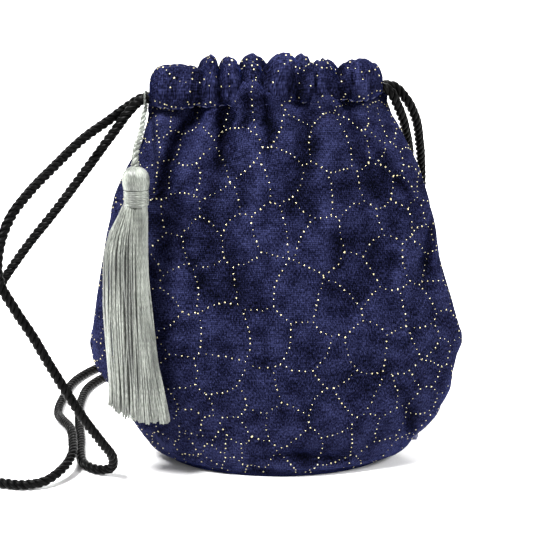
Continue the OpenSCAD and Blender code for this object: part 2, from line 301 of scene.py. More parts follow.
def thicken(piece, thickness):
    """Give a sheet its thickness, inwards from its outer face."""
    solid = piece.modifiers.new("thickness", "SOLIDIFY")
    solid.thickness = thickness
    solid.offset = -1
    apply_modifiers(piece)


# ---------------------------------------------------------------- materials

class Look:
    """A material, its nodes and the shader that they feed."""

    def __init__(self, name):
        self.material = bpy.data.materials.new(name)
        self.material.use_nodes = True
        self.material.node_tree.nodes.clear()
        self.shader = self.node("BsdfPrincipled")
        self.node("OutputMaterial", {0: self.shader.outputs[0]})
        self.normal = None

    def feed(self, node, values):
        """Give a node's inputs their values: numbers, tuples or other nodes' outputs."""
        for key, value in values.items():
            if isinstance(value, bpy.types.NodeSocket):
                self.material.node_tree.links.new(value, node.inputs[key])
            else:
                node.inputs[key].default_value = value

    def node(self, kind, values=None, **settings):
        node = self.material.node_tree.nodes.new("ShaderNode" + kind)
        for name, value in settings.items():
            setattr(node, name, value)
        self.feed(node, values or {})
        return node

    def math(self, operation, *values):
        return self.node("Math", dict(enumerate(values)), operation=operation).outputs[0]

    def ramp(self, source, stops):
        node = self.node("ValToRGB", {0: source})
        elements = node.color_ramp.elements
        while len(elements) < len(stops):
            elements.new(0.5)
        for element, (place, colour) in zip(elements, stops):
            element.position = place
            element.color = (*colour, 1)
        return node.outputs[0]

    def noise(self, vector, scale, detail=3.0, stretch=(1, 1, 1)):
        mapping = self.node("Mapping", {"Vector": vector, "Scale": stretch})
        values = {"Vector": mapping.outputs[0], "Scale": scale, "Detail": detail}
        return self.node("TexNoise", values).outputs[0]

    def bump(self, height, strength, distance):
        """A fine bump, over the bumps before it."""
        values = {"Height": height, "Strength": strength, "Distance": distance}
        if self.normal:
            values["Normal"] = self.normal
        self.normal = self.node("Bump", values).outputs[0]
        self.shade({"Normal": self.normal})

    def cut(self):
        """The place on the cut cloth or along a thread, in metres."""
        return self.node("UVMap", uv_map="cut").outputs[0]

    def split(self, vector):
        return self.node("SeparateXYZ", {0: vector}).outputs

    def place(self):
        return self.node("TexCoord").outputs["Object"]

    def shade(self, values):
        self.feed(self.shader, values)


def velvet_material():
    """Navy stretch velvet: fine ribs across, a crushed mottled sheen and short pile, with painted shade in
    the creases of its folds and painted highlight on their ridges.
    """
    look = Look("velvet")
    cut = look.cut()
    rib = look.math("SINE", look.math("MULTIPLY", look.split(cut)[1], 2 * math.pi / RIB_PITCH))
    crushed = look.noise(look.place(), 110, 6.0)
    pile = look.noise(cut, 1300, 3.0, (1, 0.55, 1))
    piled = look.math("MULTIPLY_ADD", pile, 0.68, look.math("MULTIPLY", crushed, 0.36))
    # painted shade and highlight: the folds' relief darkens the colour in creases and lightens it on
    # ridges, over the random pile and crushed tone
    fold_shade = look.node("Attribute", attribute_name="fold_shade").outputs["Fac"]
    colour = look.ramp(look.math("MULTIPLY_ADD", fold_shade, 0.07, piled), [
        (0.40, (0.0002, 0.0003, 0.0016)),
        (0.50, (0.0030, 0.0034, 0.0135)),
        (0.60, (0.0110, 0.0125, 0.0390)),
        (0.72, (0.028, 0.032, 0.090))])
    look.shade({"Base Color": colour, "Roughness": look.math("MULTIPLY_ADD", crushed, -0.3, 0.9),
                "Specular IOR Level": 0.02, "Sheen Weight": 0.10, "Sheen Roughness": 0.34,
                "Sheen Tint": (0.10, 0.17, 1.0, 1)})
    look.bump(rib, 0.55, 0.25 * MM)
    look.bump(crushed, 0.6, 2.2 * MM)
    look.bump(pile, 0.5, 0.25 * MM)
    return look.material


def lining_material():
    """Smooth navy satin."""
    look = Look("lining")
    weave = look.noise(look.cut(), 1800, 2.0, (1, 0.2, 1))
    colour = look.ramp(weave, [(0.35, (0.012, 0.014, 0.06)), (0.65, (0.03, 0.035, 0.13))])
    look.shade({"Base Color": colour, "Roughness": 0.38, "Sheen Weight": 0.2})
    look.bump(weave, 0.3, 0.1 * MM)
    return look.material


def rope_material():
    """Black satin strands: fine threads run along each strand."""
    look = Look("cord")
    threads = look.noise(look.cut(), 9, 3.0, (1, 9, 1))
    wear = look.noise(look.place(), 160, 2.0)
    colour = look.ramp(threads, [
        (0.30, (0.0006, 0.0006, 0.0007)), (0.55, (0.002, 0.002, 0.002)), (0.8, (0.012, 0.012, 0.012))])
    look.shade({"Base Color": colour, "Roughness": look.math("MULTIPLY_ADD", wear, 0.25, 0.24),
                "Specular IOR Level": 0.05})
    look.bump(threads, 0.45, 0.22 * MM)
    return look.material


def gold_material():
    """Pale gold glitter glue."""
    look = Look("gold dots")
    grain = look.noise(look.place(), 2400, 2.0)
    colour = look.ramp(grain, [
        (0.35, (0.34, 0.28, 0.12)), (0.55, (0.80, 0.72, 0.42)), (0.75, (0.98, 0.95, 0.72))])
    look.shade({"Base Color": colour, "Metallic": 0.55, "Roughness": 0.32})
    look.bump(grain, 0.5, 0.3 * MM)
    return look.material


def silver_material():
    """Silver-grey rayon thread with a sheen."""
    look = Look("silver thread")
    cut = look.cut()
    strands = look.noise(cut, 7, 3.0, (1, 60, 1))
    tone = look.math("FRACT", look.split(cut)[0])
    wide = look.noise(look.place(), 190, 2.0, (1, 1, 0.12))
    mixed = look.math("MULTIPLY_ADD", strands, 0.5, look.math("MULTIPLY", wide, 0.55))
    colour = look.ramp(mixed, [
        (0.38, (0.028, 0.031, 0.027)), (0.50, (0.115, 0.125, 0.108)), (0.66, (0.37, 0.395, 0.35))])
    look.shade({"Base Color": colour, "Roughness": look.math("MULTIPLY_ADD", tone, 0.12, 0.34),
                "Specular IOR Level": 0.55, "Sheen Weight": 0.25})
    look.bump(strands, 0.3, 0.12 * MM)
    return look.material


def plain_thread_material(name, colour, pitch):
    """Sewing or whipping thread with its twist as a fine bump."""
    look = Look(name)
    twist = look.noise(look.place(), 1 / pitch, 2.0)
    shades = look.ramp(twist, [
        (0.3, tuple(0.6 * c for c in colour)), (0.7, tuple(1.4 * c for c in colour))])
    look.shade({"Base Color": shades, "Roughness": 0.6, "Sheen Weight": 0.3})
    look.bump(twist, 0.4, 0.2 * MM)
    return look.material


VELVET = velvet_material()
LINING = lining_material()
ROPE = rope_material()
GOLD = gold_material()
SILVER = silver_material()
THREAD = plain_thread_material("sewing thread", (0.018, 0.022, 0.09), 0.6 * MM)
WHIPPING = plain_thread_material("whipping", (0.02, 0.02, 0.022), 0.8 * MM)


# ---------------------------------------------------------------- camera

def make_camera():
    data = bpy.data.cameras.new("camera")
    data.lens = CAMERA_LENS
    data.sensor_width = 36
    data.clip_start = 0.01
    data.clip_end = 20
    camera = bpy.data.objects.new("camera", data)
    back = Vector((0, -math.cos(CAMERA_RISE), math.sin(CAMERA_RISE)))
    camera.location = Vector(CAMERA_AIM) + CAMERA_DISTANCE * back
    camera.rotation_euler = (math.pi / 2 - CAMERA_RISE, 0, 0)
    bpy.context.collection.objects.link(camera)
    bpy.context.scene.camera = camera


# ---------------------------------------------------------------- cords

def channel_z(x):
    share = (x - MOUTH_X0) / (MOUTH_X1 - MOUTH_X0)
    return FOOT_Z + CORD_LIFT + CORD_RISE * share


def channel_y(x, side):
    share = (x - MOUTH_MID) / MOUTH_HALF
    return side * (CORD_Y + BAND_BOW * (1 - share ** 2))


def strands_round(name, line, count, lay, reach, radius, sides, material):
    """Tubes that wind round a line, each reach away from it."""
    across, up = frames_along(line)
    length = lengths_along(line)
    build = Build()
    for k in range(count):
        turn = 2 * math.pi * (length / lay + k / count)
        offset = np.cos(turn)[:, None] * across + np.sin(turn)[:, None] * up
        build.tube(line + reach * offset, radius, sides, tag=float(k))
    return build.finish(name, material)


def rope(name, line, diameter, lay, material, strands=3, sides=8):
    """A twisted rope of two or three strands."""
    strand_r = {2: 0.26, 3: 0.238}[strands] * diameter
    return strands_round(name, line, strands, lay, diameter / 2 - strand_r, strand_r, sides, material)


def strap_cord(name, node, route, side):
    exit_left = (MOUTH_X0, side * CORD_Y, channel_z(MOUTH_X0))
    exit_right = (MOUTH_X1, side * CORD_Y, channel_z(MOUTH_X1))
    points = [(exit_left[0] + 2 * MM, exit_left[1], exit_left[2]), exit_left]
    for place in route:
        over = place[3] * CORD_D if len(place) > 3 else 0
        points.append((place[0] * MM, place[1] * MM, LYING_Z + place[2] * MM + over))
    points += [exit_right, (exit_right[0] - 2 * MM, exit_right[1], exit_right[2])]
    line = curve_through(points, 1.4 * MM)
    line[:, 2] = np.maximum(line[:, 2], LYING_Z)
    piece = rope(name, line, CORD_D, CORD_LAY, ROPE)
    attach(piece, "pouch", node)
    return piece


def channel_cord(name, node, side, x0, x1):
    """Part of a drawcord inside the band."""
    xs = np.linspace(x0, x1, 60)
    line = np.stack([xs, channel_y(xs, side), channel_z(xs)], axis=1)
    piece = rope(name, line, CORD_D * 0.94, CORD_LAY, ROPE)
    if node:
        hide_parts(node)
    return piece


def halves(middle):
    """For the left half of a grid's columns and the right one: is it the left, the end of
    its name and its columns."""
    return (True, "_left", slice(0, middle + 1)), (False, "_right", slice(middle, None))


def open_with_back(piece):
    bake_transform(piece)


make_camera()
strap_cord("front_strap_rope", "front_strap_cord", FRONT_STRAP_ROUTE, -1)
strap_cord("back_strap_rope", "back_strap_cord", BACK_STRAP_ROUTE, 1)
first_x, last_x = MOUTH_X0 + MM, MOUTH_X1 - MM
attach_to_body(channel_cord("front_channel_rope", "front_channel_cord", -1, first_x, last_x), "pouch")
open_with_back(channel_cord("back_channel_rope_left", "back_channel_cord", 1, first_x, MOUTH_MID))
open_with_back(channel_cord("back_channel_rope_right", None, 1, MOUTH_MID, last_x))


# ---------------------------------------------------------------- pouch

left_edge = profile([(z, left) for z, left, _ in OUTLINE])
right_edge = profile([(z, right) for z, _, right in OUTLINE])
half_depth = profile(HALF_DEPTH)


def lobe_bulge(x, lobes):
    """How far a gather stands out at x, from 0 in a valley to its bulge in millimetres."""
    bulge = np.zeros_like(x)
    for x0, x1, depth, _ in lobes:
        share = np.clip((x - x0) / (x1 - x0), 0, 1)
        bulge = np.maximum(bulge, depth * np.sin(math.pi * share) ** 0.9)
    return bulge


def fold_height(x, z, folds):
    """Height of the listed folds over the smooth wall, in millimetres."""
    total = np.zeros_like(x)
    for places, width, height in folds:
        line = curve_through([(a, 0, b) for a, b in places], 2)
        taper = np.sin(math.pi * np.linspace(0.06, 0.94, len(line))) ** 0.6
        strength = np.zeros_like(x)
        for (px, _, pz), weight in zip(line, taper):
            near = np.exp(-((x - px) ** 2 + (z - pz) ** 2) / width ** 2)
            strength = np.maximum(strength, weight * near)
        total += height * strength
    return total


# Where along the mouth the walls lap over the band's foot: the lap's start and its end,
# and the middle and half width of the dome in the front one's lap, in millimetres
LAP_START = (-36, -24)
LAP_END = (20, 34)
DOME_X = -15
DOME_HALF_W = 8.5
# Heights between which the walls gather, in millimetres
GATHER_Z = (132, 199)


def wall(side, inset):
    """The front (side -1) or back (side 1) wall as a grid of points in metres, its rows
    from the base up and each from the left seam to the right one."""
    lobes, folds = (FRONT_LOBES, FRONT_FOLDS) if side < 0 else (BACK_LOBES, BACK_FOLDS)
    shares = np.linspace(0, 1, PANEL_ROWS + 1)
    heights = (FOOT_Z / MM + 4) * (shares + 0.035 * np.sin(math.pi * shares) * (1 - shares))
    columns = np.linspace(0, 1, PANEL_COLUMNS + 1)
    grid = np.zeros((len(heights), len(columns), 3))
    gap = inset / MM
    for i, z in enumerate(heights):
        left, right = left_edge(z) + gap, right_edge(z) - gap
        middle, half = (left + right) / 2, (right - left) / 2
        depth = half_depth(z) - gap
        seam = math.asin(min(0.95, (SEAM_Y / MM / depth) ** (1 / SECTION_POWER)))
        span = math.pi + 2 * seam if side < 0 else math.pi - 2 * seam
        angle = math.pi + (seam if side < 0 else -seam) - span * columns
        across, out = np.cos(angle), np.sin(angle)
        grid[i, :, 0] = middle + half * across
        lift = np.sign(out) * np.abs(out) ** SECTION_POWER
        gather = smoothstep(*GATHER_Z, z)
        mouth_x = MOUTH_MID / MM + MOUTH_HALF / MM * across
        bulge = (lobe_bulge(mouth_x, lobes) - 2.6) * gather ** 1.3 * 0.8
        folds_here = fold_height(grid[i, :, 0], np.full_like(across, z), folds)
        facing = np.clip(out * 1.6, 0, 1)
        merge = smoothstep(*LAP_START, mouth_x) * (1 - smoothstep(*LAP_END, mouth_x))
        dome = np.exp(-((mouth_x - DOME_X) / DOME_HALF_W) ** 2) if side < 0 else 0 * across
        # the top tucks in under the band, except in the lap, and its edge curls inwards
        tuck = (3.0 - 6.0 * merge) * smoothstep(187, 198, z) - 5.0 * dome * smoothstep(180, 199, z)
        curl = 7.0 * smoothstep(0.968, 1.0, shares[i])
        stand = np.sign(side) * (depth * lift + facing * (bulge + folds_here - tuck - curl))
        grid[i, :, 1] = stand
        climb = (FOOT_RISE / MM * (across + 1) / 2 + 4.0 * merge + 8.0 * dome) * smoothstep(150, 200, z)
        grid[i, :, 2] = z + climb
    grid[0, :, 2] = 0.2
    return grid * MM


def cut_place(grid):
    """Each grid point's place on the cut cloth in metres: across and up."""
    widest = PANEL_ROWS // 3
    across = lengths_along(grid[widest])
    across -= across[-1] / 2
    middle = grid.shape[1] // 2
    up = lengths_along(grid[:, middle])
    return np.stack(np.meshgrid(across, up, indexing="xy"), axis=-1)


CLOTH_FRAMES = 18
MOST_MOVE = 2.4 * MM


def relax(walls):
    """Let the cloth of both walls find its own shape under a little inner pressure, with
    its base and its gathered top held."""
    front, back = walls
    around = np.concatenate([front[:, :-1], back[:, ::-1][:, :-1]], axis=1)
    rows, columns = around.shape[:2]
    build = Build()
    build.grid(around, np.zeros((rows, columns, 2)), closed=True)
    piece = build.finish("cloth", VELVET)
    held = piece.vertex_groups.new(name="held")
    for i in list(range(0, 3)) + list(range(rows - 5, rows)):
        held.add(list(range(i * columns, (i + 1) * columns)), 1.0, "REPLACE")
    cloth = piece.modifiers.new("cloth", "CLOTH")
    settings = cloth.settings
    settings.quality = 6
    settings.mass = 0.15
    settings.tension_stiffness = 12
    settings.compression_stiffness = 12
    settings.shear_stiffness = 4
    settings.bending_stiffness = 0.35
    settings.vertex_group_mass = "held"
    settings.shrink_min = -0.022
    settings.use_pressure = True
    settings.uniform_pressure_force = 1.2
    settings.effector_weights.gravity = 0
    cloth.collision_settings.use_collision = False
    scene = bpy.context.scene
    for number in range(1, CLOTH_FRAMES + 1):
        scene.frame_set(number)
    graph = bpy.context.evaluated_depsgraph_get()
    mesh = piece.evaluated_get(graph).to_mesh()
    moved = np.zeros(rows * columns * 3)
    mesh.vertices.foreach_get("co", moved)
    bpy.data.objects.remove(piece)
    scene.frame_set(1)
    shift = moved.reshape(rows, columns, 3) - around
    size = np.linalg.norm(shift, axis=2, keepdims=True)
    shift *= np.minimum(1, MOST_MOVE / np.maximum(size, 1e-9))
    settled = around + shift
    split = front.shape[1] - 1
    first = settled[:, :split + 1]
    second = np.concatenate([settled[:, split:], settled[:, :1]], axis=1)[:, ::-1]
    return first, second


# Smoothing and full height of the folds' relief, which paints shade in creases and highlight on ridges
RELIEF_ROUNDS = 60
FULL_RELIEF = 1.5 * MM


def fold_shade_of(grid, side):
    """How far each point stands out from the cloth around it, from -1 in a deep crease to 1
    on a sharp ridge. The velvet paints shade into the creases and highlight onto the ridges from it."""
    smooth = grid.copy()
    for _ in range(RELIEF_ROUNDS):
        smooth = neighbour_mean(smooth)
    out = ((grid - smooth) * normals_of(grid, side)).sum(axis=2)
    return np.clip(out / FULL_RELIEF, -1, 1)


def panel_piece(name, grid, cut, material, thickness, outwards, fold_shade=None):
    if fold_shade is None:
        fold_shade = np.zeros(grid.shape[:2])
    order = slice(None, None, 1 if outwards else -1)
    build = Build()
    build.grid(grid[:, order], cut[:, order])
    piece = build.finish(name, material, fold_shade[:, order])
    thicken(piece, thickness)
    return piece


def normals_of(grid, side):
    """Outward unit normals of a wall's grid."""
    along = np.gradient(grid, axis=1)
    up = np.gradient(grid, axis=0)
    normal = np.cross(along, up)
    normal /= np.maximum(np.linalg.norm(normal, axis=2, keepdims=True), 1e-12)
    return normal * (1 if side < 0 else -1)


front_wall, back_wall = wall(-1, 0), wall(1, 0)
front_wall, back_wall = relax((front_wall, back_wall))
FRONT_CUT, BACK_CUT = cut_place(front_wall), cut_place(back_wall)
MIDDLE_COLUMN = PANEL_COLUMNS // 2


# Painted shade in the creases and painted highlight on the ridges of both walls
FRONT_FOLD_SHADE = fold_shade_of(front_wall, -1)
BACK_FOLD_SHADE = fold_shade_of(back_wall, 1)
front_cloth = panel_piece("front_velvet", front_wall, FRONT_CUT, VELVET, FABRIC_T, True, FRONT_FOLD_SHADE)
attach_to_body(front_cloth, "pouch")
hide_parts("front_panel")
for left, ending, half in halves(MIDDLE_COLUMN):
    back_cloth = panel_piece("back_velvet" + ending, back_wall[:, half], BACK_CUT[:, half], VELVET,
                             FABRIC_T, False, BACK_FOLD_SHADE[:, half])
    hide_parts("back_panel")
    open_with_back(back_cloth)


# ---------------------------------------------------------------- lining and base

LINING_GAP = 2.2 * MM
LINING_T = 0.8 * MM
LINING_ROUNDS = 12
LINING_ROWS_SHORT = 9


def lining_wall(outer, side):
    """The lining hangs a little inside the cloth and is smoother than it."""
    inner = outer - LINING_GAP * normals_of(outer, side)
    smooth = inner.copy()
    for _ in range(LINING_ROUNDS):
        smooth[1:-1, 1:-1] = neighbour_mean(smooth)[1:-1, 1:-1]
    inwards = np.minimum if side > 0 else np.maximum
    inner[..., 1] = inwards(inner[..., 1], smooth[..., 1])
    return inner[:-LINING_ROWS_SHORT]


def lining_piece(name, inner, cut, half, outwards):
    piece = panel_piece(name, inner[:, half], cut[:, half], LINING, LINING_T, outwards)
    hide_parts("front_lining" if outwards else "back_lining")
    return piece


front_inner, back_inner = lining_wall(front_wall, -1), lining_wall(back_wall, 1)
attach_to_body(lining_piece("front_satin", front_inner, cut_place(front_inner), slice(None), True), "pouch")
for left, ending, half in halves(MIDDLE_COLUMN):
    satin = lining_piece("back_satin" + ending, back_inner, cut_place(back_inner), half, False)
    open_with_back(satin)


def base_piece(name, node, inset, height, thickness, material):
    """An oval of cloth inside the lowest row of the walls, a little crowned."""
    ring = np.concatenate([wall(-1, inset)[0][:-1], wall(1, inset)[0][::-1][:-1]])
    shares = np.linspace(1, 0.02, 16)
    middle = ring.mean(axis=0)
    rows = middle + (ring - middle) * shares[:, None, None]
    rows[:, :, 2] = height + 0.5 * MM * (1 - shares[:, None] ** 2)
    build = Build()
    build.grid(rows[:, ::-1], rows[:, ::-1, :2], closed=True)
    last = (len(shares) - 1) * len(ring)
    build.faces.append([last + k for k in range(len(ring))])
    build.corners += [(float(p[0]), float(p[1])) for p in rows[-1, ::-1]]
    piece = build.finish(name, material)
    thicken(piece, thickness)
    attach(piece, "pouch", node)


base_piece("base_velvet", "base_panel", 0.3 * MM, 0.15 * MM, FABRIC_T, VELVET)
base_piece("base_satin", "base_lining", 2.4 * MM, 2.1 * MM, LINING_T, LINING)


# ---------------------------------------------------------------- band

BAND_COLUMNS = 220
BAND_AROUND = 40
# Half width of the sleeve where it is snug on its cord, and how far from each end it is
# fully open, in millimetres
BAND_SNUG = 3.7
END_RUN = 5.5
BAND_T = 0.7 * MM
# Smoothing of the band's relief for its painted shade and highlight
BAND_RELIEF_ROUNDS = 240


def lobe_top(x, lobes):
    """Height of the band's upper edge at x, in millimetres."""
    top = VALLEY_TOP / MM
    for left, right, _, height in lobes:
        share = min(1, max(0, (x - left) / (right - left)))
        top = max(top, VALLEY_TOP / MM + (height - VALLEY_TOP / MM) * math.sin(math.pi * share) ** 0.6)
    return top


def band_grid(side):
    """The closed sleeve of the gathered band: one ring of points round the cord at each
    place along it, pinched to the cord at both ends."""
    lobes = FRONT_LOBES if side < 0 else BACK_LOBES
    creases = FRONT_CREASES if side < 0 else BACK_CREASES
    x0, x1 = MOUTH_X0 / MM, MOUTH_X1 / MM
    shares = 0.04 + 0.92 * np.linspace(0, 1, BAND_COLUMNS + 1)
    xs = x0 + (x1 - x0) * (0.5 - 0.5 * np.cos(math.pi * shares))
    xs = x0 + (xs - xs[0]) * (x1 - x0) / (xs[-1] - xs[0])
    angle = np.linspace(0, 2 * math.pi, BAND_AROUND, endpoint=False)
    rings = np.zeros((len(xs), BAND_AROUND, 3))
    for i, x in enumerate(xs):
        bulge = float(lobe_bulge(np.array([x]), lobes)[0])
        top = lobe_top(x, lobes)
        foot = FOOT_Z / MM + 0.4 + FOOT_RISE / MM * (x - x0) / (x1 - x0) - 0.25 * bulge
        middle_y = channel_y(x * MM, side) / MM
        middle_z = channel_z(x * MM) / MM
        out, back = BAND_SNUG - 0.4 + bulge * 0.75, BAND_SNUG - 0.3 + 0.12 * bulge
        near_end = min(x - x0, x1 - x)
        open_share = math.sqrt(max(0, 1 - (1 - min(1, near_end / END_RUN)) ** 2))
        c, s = np.cos(angle), np.sin(angle)
        full_y = np.where(c > 0, out, back) * np.sign(c) * np.abs(c) ** 0.8
        full_z = np.where(s > 0, top - middle_z, middle_z - foot) * np.sign(s) * np.abs(s) ** 0.85
        full_y *= 1 - 0.25 * np.clip(s, 0, 1) ** 2
        pucker = 3.25 * (1 + 0.10 * np.cos(9 * angle))
        y = (1 - open_share) * pucker * c + open_share * full_y
        z = (1 - open_share) * pucker * s + open_share * full_z
        rise = 0.5 + 0.5 * s
        crease = 0.16 * np.sin(x * 1.9 + 1.3 * np.sin(0.7 * x))
        for foot_x, top_x, depth in creases:
            away = x - (foot_x + (top_x - foot_x) * rise)
            groove = depth * np.exp(-(away / 1.25) ** 2)
            crease = crease - groove + 0.45 * depth * np.exp(-(away / 3.2) ** 2)
        crease = crease * open_share
        rings[i, :, 0] = x + 2.0 * s * math.sin(0.12 * x + 0.8) * open_share
        rings[i, :, 1] = middle_y + side * (y + crease * c)
        rings[i, :, 2] = middle_z + z + 0.8 * crease * s
    return rings * MM


def band_cut(rings):
    """Place on the cut cloth: along the gathered band, and round its fold."""
    along = lengths_along(rings[:, 0])
    around = np.arange(BAND_AROUND) / BAND_AROUND * BAND_ROUND
    return np.stack(np.meshgrid(along, around, indexing="ij"), axis=-1)


def band_fold_shade(rings):
    """How far the band stands out from the band around it: 1 on a gather, -1 in a crease. The velvet paints
    highlight onto the gathers and shade into the creases from it.
    """
    reach = np.linalg.norm(rings - rings.mean(axis=1, keepdims=True), axis=2)
    smooth = reach.copy()
    for _ in range(BAND_RELIEF_ROUNDS):
        padded = np.pad(smooth, ((1, 1), (0, 0)), mode="edge")
        smooth = (padded[:-2] + padded[1:-1] + padded[2:]) / 3
    return np.clip((reach - smooth) / (1.3 * MM), -1, 1)


def band_piece(name, rings, cut, side):
    build = Build()
    order = slice(None, None, side)
    build.grid(rings[:, order], cut[:, order], closed=True)
    # the gathers carry painted highlight and the creases painted shade into the velvet's colour
    piece = build.finish(name, VELVET, band_fold_shade(rings)[:, order])
    thicken(piece, BAND_T)
    return piece


FRONT_BAND, BACK_BAND = band_grid(-1), band_grid(1)
FRONT_BAND_CUT, BACK_BAND_CUT = band_cut(FRONT_BAND), band_cut(BACK_BAND)
BAND_MIDDLE = int(np.argmin(np.abs(BACK_BAND[:, 0, 0] - MOUTH_MID)))


front_sleeve = band_piece("front_gathers", FRONT_BAND, FRONT_BAND_CUT, -1)
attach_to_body(front_sleeve, "pouch")
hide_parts("front_band")
for left, ending, half in halves(BAND_MIDDLE):
    back_sleeve = band_piece("back_gathers" + ending, BACK_BAND[half], BACK_BAND_CUT[half], 1)
    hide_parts("back_band")
    open_with_back(back_sleeve)


# ---------------------------------------------------------------- stitches

STITCH_STEP = 4.4 * MM
STITCH_L = 2.6 * MM
STITCH_R = 0.32 * MM
STITCH_PLACE = 0.86


def stitches(name, node, rings, side, x0, x1):
    """A row of small stitches just over the foot of the band."""
    row = int(round(STITCH_PLACE * BAND_AROUND)) % BAND_AROUND
    line = curve_through(rings[:, row], 0.4 * MM)
    length = lengths_along(line)
    build = Build()
    for start in np.arange(END_RUN * MM, length[-1] - END_RUN * MM, STITCH_STEP):
        spots = start + np.linspace(0, STITCH_L, 6)
        stitch = points_at(spots, length, line)
        if not x0 <= stitch[0, 0] < x1:
            continue
        stitch[:, 1] += side * 0.1 * MM
        build.tube(stitch, STITCH_R * np.array([0.5, 0.9, 1, 1, 0.9, 0.5]), 6)
    piece = build.finish(name, THREAD)
    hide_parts(node)
    return piece


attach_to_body(stitches("front_stitches", "front_band_stitches", FRONT_BAND, -1, -1, 1), "pouch")
for left, x0, x1 in ((True, -1, MOUTH_MID), (False, MOUTH_MID, 1)):
    row_name = "back_stitches_left" if left else "back_stitches_right"
    open_with_back(stitches(row_name, "back_band_stitches", BACK_BAND, 1, x0, x1))


# ---------------------------------------------------------------- gold dots

DOT_R = 0.46 * MM
DOT_STEP = 3.3 * MM
DOT_RISE = 0.22 * MM
WEB_TRIES = 2600
WEB_MARGIN = 20 * MM
LONGEST_LINE = 60 * MM
CELL_SQUASH = 0.72


def web_lines(low, high, cell, rng):
    """Edges of a web of irregular cells on the cut cloth, as pairs of points. cell gives
    the width of a cell at a place; cells are taller than they are wide."""
    seeds = np.zeros((0, 2))
    tries = rng.uniform(low - WEB_MARGIN, high + WEB_MARGIN, (WEB_TRIES, 2))
    for place in tries:
        away = (seeds - place) * (1, CELL_SQUASH)
        if len(seeds) == 0 or np.linalg.norm(away, axis=1).min() > 0.72 * cell(*place):
            seeds = np.vstack([seeds, place])
    triangles = geometry.delaunay_2d_cdt([Vector(s) for s in seeds], [], [], 0, 1e-7)
    points, faces = triangles[0], triangles[2]
    centres = []
    shared = {}
    for number, (a, b, c) in enumerate(faces):
        pa, pb, pc = points[a], points[b], points[c]
        twice = 2 * (pa.x * (pb.y - pc.y) + pb.x * (pc.y - pa.y) + pc.x * (pa.y - pb.y))
        x = (pa.length_squared * (pb.y - pc.y) + pb.length_squared * (pc.y - pa.y)
             + pc.length_squared * (pa.y - pb.y)) / twice
        y = (pa.length_squared * (pc.x - pb.x) + pb.length_squared * (pa.x - pc.x)
             + pc.length_squared * (pb.x - pa.x)) / twice
        centres.append((x, y))
        for edge in ((a, b), (b, c), (c, a)):
            shared.setdefault(tuple(sorted(edge)), []).append(number)
    return [(centres[pair[0]], centres[pair[1]]) for pair in shared.values() if len(pair) == 2]


def dots_along(lines, rng):
    """Places of dots at even steps along slightly bowed lines."""
    places = []
    for start, end in lines:
        start, end = np.array(start), np.array(end)
        run = end - start
        length = np.linalg.norm(run)
        if length < DOT_STEP or length > LONGEST_LINE:
            continue
        count = max(1, round(length / DOT_STEP))
        bow = rng.uniform(-0.14, 0.14)
        for k in range(count):
            share = k / count
            across = np.array((-run[1], run[0])) * bow * math.sin(math.pi * share)
            places.append(start + run * share + across + np.array(rng.normal(0, 0.25 * MM, 2)))
    return np.array(places)


def on_cloth(grid, cut, normals, places):
    """Points and normals of a cloth's grid at places on its cut."""
    across, up = cut[0, :, 0], cut[:, 0, 1]
    inside = ((places[:, 0] > across[1]) & (places[:, 0] < across[-2])
              & (places[:, 1] > up[1]) & (places[:, 1] < up[-2]))
    places = places[inside]
    j = np.interp(places[:, 0], across, np.arange(len(across)))
    i = np.interp(places[:, 1], up, np.arange(len(up)))
    i0, j0 = np.floor(i).astype(int), np.floor(j).astype(int)
    fi, fj = (i - i0)[:, None], (j - j0)[:, None]

    def mixed(values):
        return ((1 - fi) * (1 - fj) * values[i0, j0] + (1 - fi) * fj * values[i0, j0 + 1]
                + fi * (1 - fj) * values[i0 + 1, j0] + fi * fj * values[i0 + 1, j0 + 1])

    return mixed(grid), mixed(normals)


def dots_piece(name, points, normals, rng):
    """Small domes of glitter glue."""
    normals = normals / np.linalg.norm(normals, axis=1, keepdims=True)
    side = np.cross(normals, [0.1, 0.2, 0.97])
    side /= np.linalg.norm(side, axis=1, keepdims=True)
    up = np.cross(normals, side)
    radius = DOT_R * rng.uniform(0.55, 1.2, len(points))[:, None]
    around = [(math.cos(a), math.sin(a)) for a in np.arange(6) * math.pi / 3]
    build = Build()
    base = [points + radius * (c * side + s * up) - 0.1 * MM * normals for c, s in around]
    shoulder = [points + 0.7 * (radius * (c * side + s * up) + DOT_RISE * normals) for c, s in around]
    corners = np.stack(base + shoulder + [points + DOT_RISE * normals], axis=1)
    build.points.append(corners.reshape(-1, 3))
    for number in range(len(points)):
        first = 13 * number
        for k in range(6):
            n = (k + 1) % 6
            build.faces.append([first + k, first + n, first + 6 + n, first + 6 + k])
            build.faces.append([first + 6 + k, first + 6 + n, first + 12])
            build.corners += [(0.0, 0.0)] * 7
        build.faces.append([first + k for k in range(5, -1, -1)])
        build.corners += [(0.0, 0.0)] * 6
    piece = build.finish(name, GOLD)
    return piece


def panel_cell(x, y):
    """Cells are wide in the middle of the front and small at its sides and in a patch at
    its lower left."""
    edge = min(1, abs(x) / (98 * MM))
    patch = math.exp(-((x + 42 * MM) / (24 * MM)) ** 2 - ((y - 26 * MM) / (26 * MM)) ** 2)
    return (22 - 11 * edge ** 2) * (1 - 0.66 * patch) * MM


def back_cell(x, y):
    return (22 - 10 * min(1, abs(x) / (90 * MM)) ** 2) * MM


def web_dots(grid, cut, normals, cell, seed, turned=False):
    """Points and normals of the dots of a whole web on a cloth's grid, and the generator
    that placed them."""
    rng = np.random.default_rng(seed)
    flat = cut.reshape(-1, 2)
    places = dots_along(web_lines(flat.min(axis=0), flat.max(axis=0), cell, rng), rng)
    sheets = [v.swapaxes(0, 1) if turned else v for v in (grid, cut, normals)]
    return *on_cloth(*sheets, places), rng


def wall_dots(grid, cut, side, seed, cell):
    return web_dots(grid, cut, normals_of(grid, side), cell, seed)


